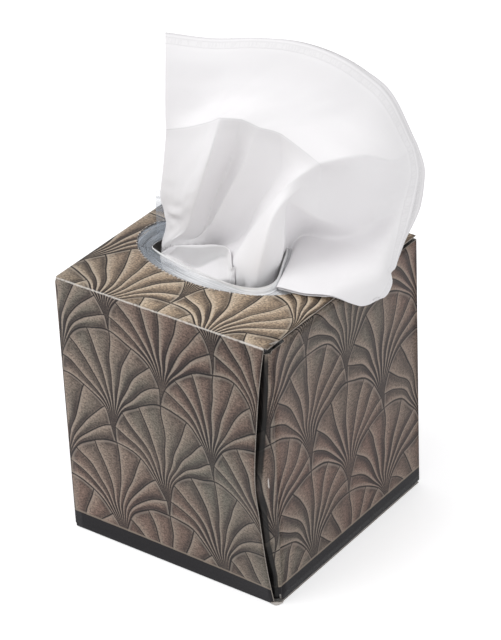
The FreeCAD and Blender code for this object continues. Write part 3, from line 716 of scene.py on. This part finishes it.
def seam_flap(wall):
    """Leg and arm of the glue flap: it leaves the right wall and goes behind the front one."""
    low = FOLD + FLAP_SHORT
    high = HEIGHT - FOLD - FLAP_SHORT
    heights = np.linspace(low, high, 70)
    shares = [item[0] for item in SEAM_STATIONS]
    gaps = [item[2] * GAP_GAIN for item in SEAM_STATIONS]
    points, uv = [], []
    for z in heights:
        row = np.stack([np.interp(z, wall[:, 0, 2], wall[:, c, k])
                        for c in range(wall.shape[1]) for k in (0, 1)]).reshape(-1, 2)
        gap = np.interp((z - low) / (high - low), shares, gaps)
        edge = row[-1]
        fold_x = edge[0] + SEAM_INSET / 2
        fold_y = edge[1] + BOARD + gap
        path = []
        root_y = -DEPTH / 2 + SEAM_ROOT
        for t in np.linspace(0, 1, 12):
            path.append((WIDTH / 2 + (fold_x - WIDTH / 2) * t ** 2,
                         root_y + (fold_y + FLAP_ROUND - root_y) * t))
        for turn in np.linspace(0.3, math.pi / 2, 4):
            path.append((fold_x - FLAP_ROUND * (1 - math.cos(turn)),
                         fold_y + FLAP_ROUND * (1 - math.sin(turn))))
        for step in np.linspace(0.15, 1.0, 7):
            x = fold_x - FLAP_ROUND - FLAP_ARM * step
            path.append((x, np.interp(x, row[:, 0], row[:, 1]) + BOARD + gap))
        path = np.array(path)
        run = run_of(path)
        points.append([(x, y, z) for x, y in path])
        uv.append([(WIDTH + SEAM_ROOT - along, z) for along in run])
    points = np.array(points)
    wear_and_painted_light = np.zeros(points.shape[:2])
    crack = np.exp(-((heights - CRACK_Z) / CRACK_REACH) ** 4)
    wear_and_painted_light[:, 6] = 0.1 + 1.1 * crack
    wear_and_painted_light[:2, 4:10] = 0.7
    # Painted shade on the flap where it goes into the gap behind the front wall, fuller where the
    # gap is wider
    depth = np.clip(np.interp((heights - low) / (high - low), shares, gaps) / FULL_SHADE_GAP, 0, 1)
    wear_and_painted_light[:, 9] = -0.35 * depth
    wear_and_painted_light[:, 10:] = -depth[:, None]
    return {"points": points, "uv": np.array(uv), "wear_and_painted_light": wear_and_painted_light, "flip": True}


def side_walls():
    """Right, back and left walls with their rounded upright folds."""
    half_w, half_d = WIDTH / 2, DEPTH / 2
    low, high = WALL_LOW, WALL_HIGH
    path = [(half_w, y) for y in np.linspace(-half_d + SEAM_ROOT, half_d - FOLD, 28)]
    fold_at = []

    def corner(cx, cy, start):
        fold_at.append(len(path))
        for turn in np.linspace(start, start + math.pi / 2, 7)[1:]:
            path.append((cx + FOLD * math.cos(turn), cy + FOLD * math.sin(turn)))

    corner(half_w - FOLD, half_d - FOLD, 0.0)
    path += [(x, half_d) for x in np.linspace(half_w - FOLD, -half_w + FOLD, 28)[1:]]
    corner(-half_w + FOLD, half_d - FOLD, math.pi / 2)
    path += [(-half_w, y) for y in np.linspace(half_d - FOLD, -half_d + FOLD, 28)[1:]]
    corner(-half_w + FOLD, -half_d + FOLD, math.pi)
    path = np.array(path)
    run = run_of(path)
    along = WIDTH + SEAM_ROOT + run / run[-1] * (3 * WIDTH - SEAM_ROOT)
    heights = np.linspace(low, high, 40)
    points = np.zeros((len(heights), len(path), 3))
    points[..., 0] = path[None, :, 0]
    points[..., 1] = path[None, :, 1]
    points[..., 2] = heights[:, None]
    bend = smooth_noise((len(heights), len(path)), (4, 12), 3)
    ends = np.minimum(1, np.minimum(heights - low, high - heights) / 25)[:, None]
    inwards = np.zeros_like(points)
    inwards[..., 0] = (np.abs(path[:, 0]) > half_w - 1e-6) * -np.sign(path[:, 0])
    inwards[..., 1] = (np.abs(path[:, 1]) > half_d - 1e-6) * -np.sign(path[:, 1])
    points += inwards * (WALL_HOLLOW * (1 + bend * ends) * ends)[..., None]
    uv = np.zeros(points.shape[:2] + (2,))
    uv[..., 0] = along[None, :]
    uv[..., 1] = heights[:, None]
    wear_and_painted_light = np.zeros(points.shape[:2])
    for start in fold_at:
        wear_and_painted_light[:, start:start + 5] = 0.28
    wear_and_painted_light[:3] = np.maximum(wear_and_painted_light[:3], 0.2)
    return {"points": points, "uv": uv, "wear_and_painted_light": wear_and_painted_light}


def turned(points, degrees):
    """The points turned about the upright axis."""
    angle = math.radians(degrees)
    c, s = math.cos(angle), math.sin(angle)
    x, y = points[..., 0].copy(), points[..., 1].copy()
    points[..., 0] = c * x - s * y
    points[..., 1] = s * x + c * y
    return points


def flap_grid(size, corner, half, level, upwards, degrees):
    """Flap folded inwards from a wall, with its rounded fold. It is made at the front,
    and turned to its wall, which also gives its place in the flat sheet."""
    short, reach, taper = size
    run = corner - short
    middle_u = WIDTH * (0.5 + (degrees / 90) % 4)
    inwards, onwards, length = arc_rows(FOLD, 7)
    sign = 1 if upwards else -1
    rows, v_rows = [], []
    for k in range(7):
        rows.append((-half + inwards[k], level - sign * (FOLD - onwards[k]), 0.0))
        v_rows.append(length[k])
    for step in np.linspace(0.04, 1, 8):
        rows.append((-half + FOLD + (reach - FOLD) * step, level, taper * step))
        v_rows.append(length[-1] + (reach - FOLD) * step)
    count = 24
    points = np.zeros((len(rows), count, 3))
    uv = np.zeros((len(rows), count, 2))
    for index, (y, z, inset) in enumerate(rows):
        xs = np.linspace(-run + inset, run - inset, count)
        points[index, :, 0] = xs
        points[index, :, 1] = y
        points[index, :, 2] = z
        uv[index, :, 0] = middle_u + xs
        uv[index, :, 1] = level + sign * (v_rows[index] - FOLD)
    wear_and_painted_light = np.zeros((len(rows), count))
    wear_and_painted_light[1:6] = 0.45
    return {"points": turned(points, degrees), "uv": uv, "wear_and_painted_light": wear_and_painted_light, "flip": not upwards}


def top_panel():
    """Outer top panel, from the nicked edge of the oval to the four edges."""
    cx, cy, rx, ry = OVAL
    x_low, x_high = -WIDTH / 2 + CUT_GAP, WIDTH / 2 - CUT_GAP
    y_low, y_high = -DEPTH / 2 + FOLD, DEPTH / 2 - CUT_GAP
    corners = [math.atan2(y - cy, x - cx) for x in (x_low, x_high) for y in (y_low, y_high)]
    turns = np.sort(np.concatenate([np.linspace(-math.pi, math.pi, 720, endpoint=False), corners]))
    ux, uy = np.cos(turns), np.sin(turns)
    oval_r = 1 / np.sqrt((ux / rx) ** 2 + (uy / ry) ** 2)
    with np.errstate(divide="ignore"):
        reach_x = np.where(ux > 0, x_high - cx, x_low - cx) / ux
        reach_y = np.where(uy > 0, y_high - cy, y_low - cy) / uy
    outer_r = np.minimum(np.abs(reach_x), np.abs(reach_y))
    along = run_of(np.stack([oval_r * ux, oval_r * uy], 1)) / NICK_PITCH
    local = np.random.default_rng(11)
    tooth = np.abs((along % 1.0) - 0.5) * 2
    tall = local.uniform(0.15, 1.0, int(along[-1]) + 2)[along.astype(int)]
    nick = NICK_DEPTH * tall * np.clip((tooth - 0.62) / 0.25, 0, 1)
    nick += 0.06 * local.standard_normal(len(turns))
    shares = [0.0, 0.022, 0.06, 0.15, 0.35, 0.6, 0.85, 1.0]
    points = np.zeros((len(shares), len(turns), 3))
    for row, share in enumerate(shares):
        inner_r = oval_r - nick if row == 0 else oval_r
        r = inner_r * (1 - share) + outer_r * share
        points[row] = np.stack([cx + r * ux, cy + r * uy, np.full(len(r), HEIGHT)], 1)
    uv = points[..., :2] + (WIDTH / 2, HEIGHT + DEPTH / 2)
    wear_and_painted_light = np.zeros(points.shape[:2])
    wear_and_painted_light[0] = 0.45 + 1.3 * np.clip(nick / 0.5, 0, 1)
    wear_and_painted_light[1] = 0.15 + 0.6 * np.clip(nick / 0.5, 0, 1)
    free = (np.abs(points[-1, :, 0]) > x_high - 0.01) | (points[-1, :, 1] > y_high - 0.01)
    wear_and_painted_light[-1] = np.where(free, 0.35, 0.40)
    return {"points": points, "uv": uv, "wear_and_painted_light": wear_and_painted_light, "wrap": True, "flip": True}


def torn_bits():
    """Small torn bits of board at the two ends of the front right corner."""
    bits = []
    for lower, upper in TORN_BITS:
        grid = refined(refined(np.array([lower, upper], float), 0, 4), 1, 6)
        grid += np.random.default_rng(5).normal(0, 0.07, grid.shape)
        bits.append({"points": grid, "wear_and_painted_light": np.full(grid.shape[:2], 0.9)})
    return bits


def base_panel():
    """Bottom panel, which the front wall carries."""
    xs = np.linspace(-WIDTH / 2 + CUT_GAP, WIDTH / 2 - CUT_GAP, 12)
    ys = np.linspace(-DEPTH / 2 + FOLD, DEPTH / 2 - CUT_GAP, 12)
    x, y = np.meshgrid(xs, ys)
    points = np.stack([x, y, np.zeros_like(x)], 2)
    uv = np.stack([x + WIDTH / 2, -y - DEPTH / 2], 2)
    return {"points": points, "uv": uv, "flip": True}


def make_carton():
    """Folded board: printed outside, bare inside and along its cut edges."""
    half_w, half_d = WIDTH / 2, DEPTH / 2
    wall = front_surface()
    grids = [front_grid(wall), seam_flap(wall), side_walls(), top_panel(), base_panel()]
    grids += torn_bits()
    for degrees in (90, -90):
        grids.append(flap_grid(DUST_FLAP, half_d, half_w, DUST_Z, True, degrees))
        grids.append(flap_grid(BASE_SIDE_FLAP, half_d, half_w, 2 * BOARD, False, degrees))
    grids.append(flap_grid(INNER_TOP_FLAP, half_w, half_d, FILM_Z, True, 180))
    grids.append(flap_grid(BASE_BACK_FLAP, half_w, half_d, BOARD, False, 180))
    piece = make_piece("carton_board", grids, [print_board, inner_board, cut_board])
    thick = piece.modifiers.new("board", "SOLIDIFY")
    thick.thickness = BOARD * MM
    thick.offset = -1.0
    thick.material_offset = 1
    thick.material_offset_rim = 2
    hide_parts("carton")


# Tissues

def sail_point(across, out, rise):
    """Place in the part's axes of a point in the pulled tissue's own frame."""
    return (across * math.cos(SAIL_TURN) + out * math.sin(SAIL_TURN),
            across * math.sin(SAIL_TURN) - out * math.cos(SAIL_TURN), HEIGHT + rise)


def sail_grid(slip):
    """Pleats by rows, from the hem down to the pad."""
    columns = []
    for number, pleat in enumerate(SAIL):
        column = [np.array(sail_point(*point)) for point in pleat]
        if slip:
            way = column[0] - column[1]
            column[0] = column[0] + way / np.linalg.norm(way) * REAR_SLIP[number]
        mouth = column[-1]
        for share in SAIL_DROPS:
            drawn = 1 - (1 - SAIL_GATHER) * share
            column.append(np.array([mouth[0] * drawn, mouth[1] * drawn,
                                    mouth[2] + (SAIL_END - mouth[2]) * share]))
        columns.append(column)
    return np.array(columns)


def rounded_corner(grid, across, down, cut):
    """The grid with its last column's first corner drawn in to a round one."""
    columns, rows = grid.shape[:2]
    a = np.clip((columns - 1 - np.arange(columns)) / across, 0, 1)[:, None]
    b = np.clip(np.arange(rows) / down, 0, 1)[None, :]
    push = cut * (1 - a) ** 2 * (1 - b) ** 2
    i = np.arange(columns)[:, None] - push * across
    j = np.arange(rows)[None, :] + push * down
    i0 = np.clip(np.floor(i).astype(int), 0, columns - 2)
    j0 = np.clip(np.floor(j).astype(int), 0, rows - 2)
    s = (i - i0)[..., None]
    t = (j - j0)[..., None]
    return ((grid[i0, j0] * (1 - s) + grid[i0 + 1, j0] * s) * (1 - t)
            + (grid[i0, j0 + 1] * (1 - s) + grid[i0 + 1, j0 + 1] * s) * t)


def sail_sheet(name, slip, offset, material, seed):
    """One ply of the pulled tissue, with its folds, notch and fine wrinkles."""
    poles = sail_grid(slip)
    count, depth = poles.shape[:2]
    across = np.zeros((count, depth))
    across[:, :CREASE_ROW] = np.array(FOLDS_ABOVE)[:, None]
    across[:, CREASE_ROW:] = np.array(FOLDS_BELOW)[:, None]
    grid = refined(poles, 0, PLEAT_STEPS, across)
    places = np.linspace(0, count - 1, len(grid))
    crease = np.zeros((len(grid), depth))
    crease[:, CREASE_ROW] = np.interp(places, np.arange(count), CREASE)
    grid = refined(grid, 1, ROW_STEPS, crease)
    grid = rounded_corner(grid, *LOBE_CORNER)
    notch = np.exp(-((places - NOTCH_AT) / 0.10) ** 2)[:, None] * np.exp(
        -(np.arange(grid.shape[1]) / 9.0) ** 2)[None, :]
    way = grid[:, 8:9] - grid[:, :1]
    grid = grid + way / np.linalg.norm(way, axis=2, keepdims=True) * (NOTCH_DEPTH * notch)[..., None]
    row_places = np.concatenate([np.arange(n) / n + k for k, n in enumerate(ROW_STEPS)]
                                + [[len(ROW_STEPS)]])
    normal = normals_of(grid)
    columns, rows = grid.shape[:2]
    fine = smooth_noise((columns, rows), (13, 9), seed) * 0.30
    fine += smooth_noise((columns, rows), (30, 16), seed + 1) * 0.08
    high = np.clip((CREASE_ROW - row_places) / 1.2, 0, 1)[None, :]
    fine += smooth_noise((columns, rows), (8, 7), seed + 5) * 1.1 * high
    # Short wrinkles low on the left pleats
    low_left = np.exp(-((places - 1.0) / 1.6) ** 2)[:, None] * np.exp(
        -((row_places - 6.4) / 0.7) ** 2)[None, :]
    fine += smooth_noise((columns, rows), (14, 44), seed + 2) * 0.7 * low_left
    # Gathered folds where the sheet passes down through the slit
    gathered = np.clip(row_places - GATHER_FROM, 0, 1)[None, :]
    zigzag = np.abs((places * GATHER_FOLDS) % 1.0 - 0.5)[:, None] * 4 - 1
    grid = grid + normal * (offset + fine + GATHER_DEPTH * zigzag * gathered)[..., None]
    down = np.linalg.norm(np.diff(grid, axis=1), axis=2)
    uv = np.zeros((columns, rows, 2))
    uv[..., 0] = np.linspace(0, SAIL_WIDTH, columns)[:, None]
    uv[:, 1:, 1] = np.cumsum(down, axis=1)
    fold = np.tile(row_places - CREASE_ROW, (columns, 1))
    return make_piece(name, [{"points": grid, "uv": uv, "wear_and_painted_light": fold}], [material])


def make_sails():
    """Both plies of the pulled tissue."""
    front = sail_sheet("front_ply_sheet", False, 0.0, tissue, SAIL_SEED)
    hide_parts("front_ply")
    rear = sail_sheet("rear_ply_sheet", True, PLY_GAP, shaded_rear_tissue, SAIL_SEED)
    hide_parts("rear_ply")


def make_next():
    """Pocket of the next tissue: a short back, the rim, the inside and the front slope."""
    rows = [np.array(line, float) for line in (NEXT_RIM, NEXT_VALLEY, NEXT_FLOOR, NEXT_LOW)]
    rim = rows[0]
    back = rim + np.array([0, 0.4, -2.5])
    back_low = rim * np.array([1, 1, 0]) + np.array([0, 0, -7.0])
    grid = np.stack([back_low, back] + rows)
    grid[..., 2] += HEIGHT
    kinks = np.zeros(grid.shape[:2])
    kinks[2:5] = 0.8
    grid = refined(grid, 0, 12, kinks)
    grid = refined(grid, 1, 12)
    grid = grid + normals_of(grid) * (smooth_noise(grid.shape[:2], (12, 10), 51) * 0.25)[..., None]
    uv = flat_grid(grid.shape, (0, 60), (40, 85))
    rows_at = np.linspace(0, 5, grid.shape[0])
    columns_at = np.linspace(0, 8, grid.shape[1])
    # Painted shade on the inside, between the rim and the valley and short of both ends
    pocket_shade_share = np.clip((rows_at - 2.05) / 0.15, 0, 1) * np.clip((3.15 - rows_at) / 0.2, 0, 1)
    start = 1.75 - 0.85 * np.clip(rows_at - 2.0, 0, 1)
    sideways = np.clip((columns_at[None, :] - start[:, None]) / 0.2, 0, 1)
    sideways = sideways * np.clip((6.0 - columns_at) / 0.8, 0, 1)[None, :]
    fold = POCKET_SHADE_LEVEL + pocket_shade_share[:, None] * sideways
    piece = make_piece("next_tissue_head", [{"points": grid, "uv": uv, "wear_and_painted_light": fold}], [tissue])
    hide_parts("next_tissue")


def make_film():
    """Film under the top panel: its slit is pushed open and its edge stands up."""
    cx, cy, rx, ry = OVAL
    edge = closed_curve(np.array(FILM_EDGE, float), 16)
    turns = np.arctan2((edge[:, 1] - cy) / ry, (edge[:, 0] - cx) / rx)
    outer = np.stack([cx + (rx + FILM_OVERLAP) * np.cos(turns),
                      cy + (ry + FILM_OVERLAP) * np.sin(turns)], 1)
    away = edge[:, :2] - np.array(FILM_CENTRE)
    away /= np.linalg.norm(away, axis=1, keepdims=True)
    base_z = FILM_Z + 0.1
    top_z = HEIGHT + edge[:, 2]
    rows = [np.column_stack([edge[:, :2], top_z])]
    for share, out in FILM_LIP:
        rows.append(np.column_stack([edge[:, :2] + away * out, base_z + (top_z - base_z) * share]))
    foot = rows[-1]
    for share in (0.2, 0.4, 0.6, 0.8, 1.0):
        flat = foot[:, :2] * (1 - share) + outer * share
        rows.append(np.column_stack([flat, np.full(len(flat), base_z)]))
    points = np.array(rows)
    dip = np.sin(np.linspace(0, math.pi, 6)) * 0.8
    waves = smooth_noise((6, len(edge)), (3, 40), 61)
    waves[:, -20:] = waves[:, -20:] * np.linspace(1, 0, 20) + waves[:, :1] * np.linspace(0, 1, 20)
    points[4:, :, 2] -= np.abs(waves) * dip[:, None]
    uv = np.zeros(points.shape[:2] + (2,))
    uv[..., 0] = np.linspace(0, 40, len(points))[:, None]
    uv[..., 1] = run_of(edge[:, :2])[None, :]
    # Painted highlight along the lip's top rows
    lip = np.zeros(points.shape[:2])
    lip[0] = 1.0
    lip[1] = 0.98
    lip[2] = 0.80
    sheet = {"points": points, "uv": uv, "wear_and_painted_light": lip, "wrap": True}
    flap = np.array(FILM_FLAP, float)
    flap[..., 2] += HEIGHT
    flap = refined(refined(flap, 0, 12), 1, 12)
    flap_uv = flat_grid(flap.shape, (0, 12), (0, 12))[..., ::-1]
    # Painted highlight along the standing piece's edges
    flap_edge = np.zeros(flap.shape[:2])
    flap_edge[:, 0] = 0.8
    flap_edge[-1] = 0.75
    standing = {"points": flap, "uv": flap_uv, "wear_and_painted_light": flap_edge}
    piece = make_piece("film_sheet", [sheet, standing], [film])
    thick = piece.modifiers.new("film", "SOLIDIFY")
    thick.thickness = FILM_THICKNESS * MM
    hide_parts("film_window")


def pad_material():
    """Pale paper in thin level layers."""
    n = Nodes("tissue_pad")
    place = n.add("ShaderNodeTexCoord", output=3)
    layers = n.noise(n.times(place, 30.0, 30.0, 1400.0), 1.0, 2.0, 0.5)
    n.put(n.shader.inputs["Base Color"], n.mix(n.step(layers, 0.3, 0.7), grey(0.78), grey(0.70)))
    n.shader.inputs["Roughness"].default_value = 0.9
    n.put(n.shader.inputs["Normal"], n.bump(layers, 0.0006, 0.6))
    return n.material


def make_pad():
    """Folded pad of sheets: rounded shoulders and a slot below."""
    half, low, high, end = PAD_HALF, PAD_LOW, PAD_HIGH, PAD_END
    shoulder, rise = PAD_SHOULDER, PAD_RISE
    outline = [(-half, low), (-half, low + 30), (-half, high - rise - 20), (-half, high - rise)]
    for t in np.linspace(0.08, 1, 14):
        outline.append((-half + shoulder * t ** 1.6, high - rise * (1 - t) ** 2.4))
    right = [(-y, z) for y, z in outline[::-1]]
    slot, tall = PAD_SLOT
    outline = np.array(outline + right[:-1] + [(half, low), (slot, low), (slot, low + tall),
                                               (-slot, low + tall), (-slot, low)])
    xs = np.concatenate([[-end, -end], np.linspace(0.4 - end, end - 0.4, 40), [end, end]])
    points = np.zeros((len(xs), len(outline), 3))
    points[..., 0] = xs[:, None]
    points[..., 1] = outline[None, :, 0]
    points[..., 2] = outline[None, :, 1]
    # Both ends are closed by drawing the last outline in to its middle
    for cap in (0, -1):
        points[cap, :, 1] *= 0.02
        points[cap, :, 2] = 50 + (points[cap, :, 2] - 50) * 0.6
    piece = make_piece("tissue_pad", [{"points": points, "wrap": True}], [pad_material()], False)
    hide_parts("tissue_stack")


make_carton()
make_pad()
make_sails()
make_next()
make_film()


# Stage, light and camera

def make_stage():
    """Pale floor that looks white to the camera and keeps the object's soft shadow."""
    n = Nodes("pale_floor")
    path = n.tree.nodes.new("ShaderNodeLightPath")
    seen = n.most(path.outputs["Is Camera Ray"], n.most(path.outputs["Is Glossy Ray"],
                                                        path.outputs["Is Transmission Ray"]))
    n.shader.inputs["Base Color"].default_value = (0.80, 0.80, 0.81, 1)
    n.shader.inputs["Roughness"].default_value = 0.9
    n.shader.inputs["Specular IOR Level"].default_value = 0.0
    n.shader.inputs["Emission Color"].default_value = (1, 1, 1, 1)
    n.put(n.shader.inputs["Emission Strength"], n.mul(seen, 0.45))
    mesh = bpy.data.meshes.new("floor")
    size = 6.0
    mesh.from_pydata([(-size, -size, 0), (size, -size, 0), (size, size, 0), (-size, size, 0)],
                     [], [(0, 1, 2, 3)])
    mesh.materials.append(n.material)
    floor = placed("floor", mesh)


def make_world():
    """Even white surroundings, full white where the camera sees them."""
    world = bpy.data.worlds.new("studio")
    bpy.context.scene.world = world
    world.use_nodes = True
    tree = world.node_tree
    background = tree.nodes["Background"]
    background.inputs["Color"].default_value = (1, 1, 1, 1)
    path = tree.nodes.new("ShaderNodeLightPath")
    seen = tree.nodes.new("ShaderNodeMath")
    seen.operation = "MAXIMUM"
    tree.links.new(path.outputs["Is Camera Ray"], seen.inputs[0])
    tree.links.new(path.outputs["Is Transmission Ray"], seen.inputs[1])
    level = tree.nodes.new("ShaderNodeMapRange")
    level.inputs["To Min"].default_value = 0.78
    level.inputs["To Max"].default_value = 1.0
    tree.links.new(seen.outputs[0], level.inputs["Value"])
    tree.links.new(level.outputs[0], background.inputs["Strength"])


def make_lamp(name, place, size, energy):
    """Round soft lamp that faces the carton."""
    lamp = bpy.data.lights.new(name, "AREA")
    lamp.shape = "DISK"
    lamp.size = size
    lamp.energy = energy
    holder = placed(name, lamp)
    holder.location = place
    aim = Vector((0.0, 0.0, 0.12)) - holder.location
    holder.rotation_euler = aim.to_track_quat("-Z", "Y").to_euler()


def make_camera():
    """Camera at the photograph's place and angle."""
    azimuth, level = CAMERA_AZIMUTH, math.cos(CAMERA_ELEVATION)
    back = Vector((math.sin(azimuth) * level, -math.cos(azimuth) * level,
                   math.sin(CAMERA_ELEVATION)))
    right = Vector((math.cos(azimuth), math.sin(azimuth), 0))
    up = back.cross(right)
    c, s = math.cos(CAMERA_ROLL), math.sin(CAMERA_ROLL)
    x_axis = right * c + up * s
    y_axis = up * c - right * s
    camera = bpy.data.cameras.new("camera")
    camera.sensor_fit = "VERTICAL"
    camera.sensor_height = SENSOR
    camera.lens = FOCAL_PIXELS / FRAME_PIXELS * SENSOR
    holder = placed("camera", camera)
    rows = [(x_axis[k], y_axis[k], back[k], CAMERA_PLACE[k]) for k in range(3)]
    holder.matrix_world = Matrix(rows + [(0, 0, 0, 1)])
    bpy.context.scene.camera = holder


make_stage()
make_world()
make_lamp("key", (-0.45, -0.64, 1.42), 0.8, 7.2)
make_lamp("fill", (1.1, -0.8, 0.7), 0.9, 2.5)
make_camera()
bpy.context.scene.view_settings.view_transform = "Standard"
